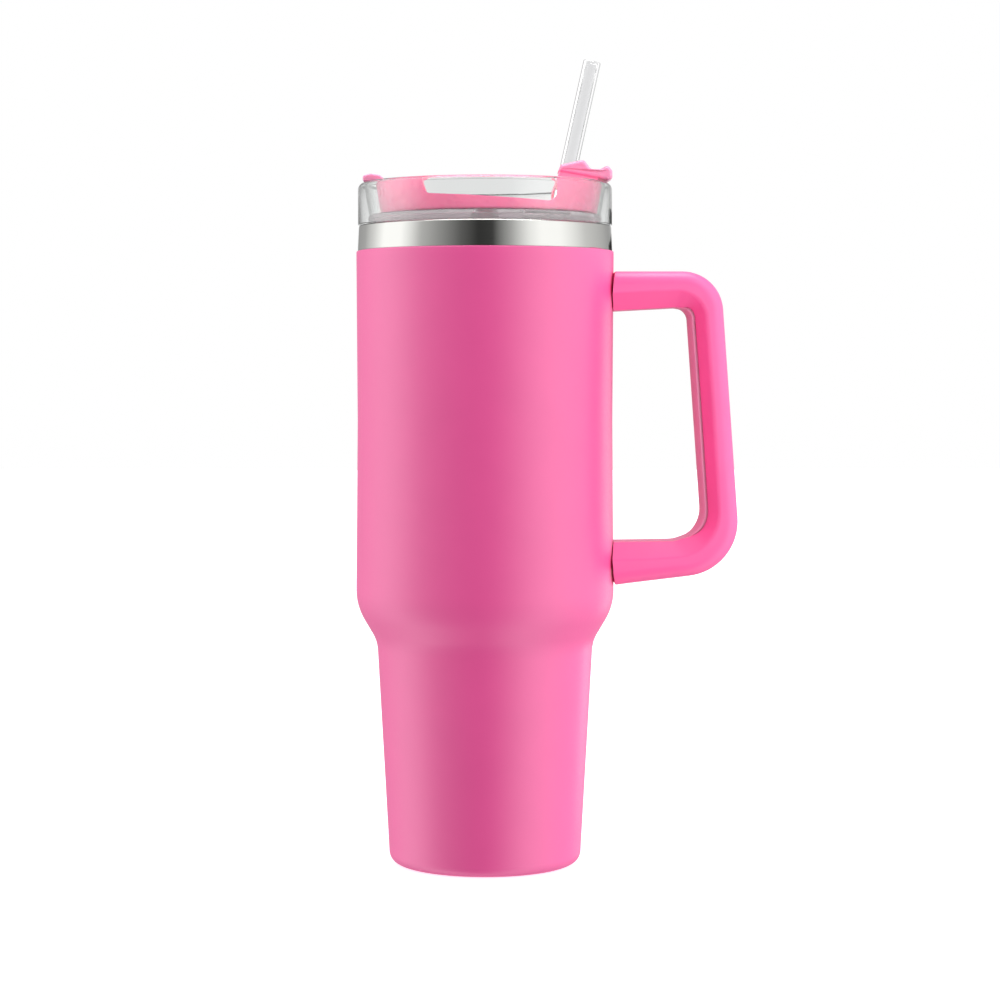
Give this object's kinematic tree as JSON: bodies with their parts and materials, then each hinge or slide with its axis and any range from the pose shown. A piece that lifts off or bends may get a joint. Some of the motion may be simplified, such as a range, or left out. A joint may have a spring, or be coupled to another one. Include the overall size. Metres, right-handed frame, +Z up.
{
  "type": "insulated tumbler with lid",
  "caption": "Tall vacuum-insulated tumbler with a narrow lower body, side handle, clear push-in lid, turning cover and leaning straw.",
  "frame": {"origin": "centre of the base on the cup's axis, at the height of the surface that it stands on", "axes": "+Z up along the cup's axis, +X towards the handle"},
  "size_m": [0.1458, 0.0988, 0.308],
  "materials": {
    "pink_coat": "smooth satin powder coat",
    "bare_steel": "polished on the neck band, satin inside",
    "base_steel": "satin, spun",
    "inner_steel": "as pressed",
    "screw_steel": "bright zinc",
    "solder_glass": "fused bead",
    "foil": "bright foil",
    "handle_plastic": "satin moulded",
    "grip_plastic": "satin moulded",
    "cover_plastic": "glossy moulded",
    "clear_plastic": "clear, polished mould",
    "straw_plastic": "clear with a light haze",
    "silicone": "translucent white"
  },
  "bodies": {
    "cup": {"outer_shell": "pink_coat", "inner_liner": "bare_steel", "base_cover": "base_steel", "vacuum_base_plate": "inner_steel", "vacuum_seal_bead": "solder_glass", "getter_capsule": "inner_steel", "heat_shield_foil": "foil", "handle_shell": "handle_plastic", "handle_inner_panel": "grip_plastic", "upper_handle_bracket": "inner_steel", "lower_handle_bracket": "inner_steel", "upper_handle_screw": "screw_steel", "lower_handle_screw": "screw_steel"},
    "seal_ring": {"lid_gasket": "silicone"},
    "lid": {"lid_body": "clear_plastic"},
    "cover": {"rotating_cover": "cover_plastic", "cover_seal": "silicone", "cover_retainer": "cover_plastic", "hub_washer": "silicone", "straw_grommet": "silicone"},
    "straw": {"straw": "straw_plastic"}
  },
  "joints": [
    {"name": "lid_lift", "type": "slide", "parent": "cup", "child": "seal_ring", "axis": [0, 0, 1], "range_m": [0, 0.08]},
    {"name": "lid_turn", "type": "hinge", "parent": "seal_ring", "child": "lid", "pos_m": [0, 0, 0.2458], "axis": [0, 0, 1], "continuous": true},
    {"name": "cover_turn", "type": "hinge", "parent": "lid", "child": "cover", "pos_m": [0, 0, 0.2482], "axis": [0, 0, 1], "range_deg": [-50, 50]},
    {"name": "straw_pull", "type": "slide", "parent": "cover", "child": "straw", "axis": [0.217, 0, 0.9762], "range_m": [0, 0.27]}
  ]
}
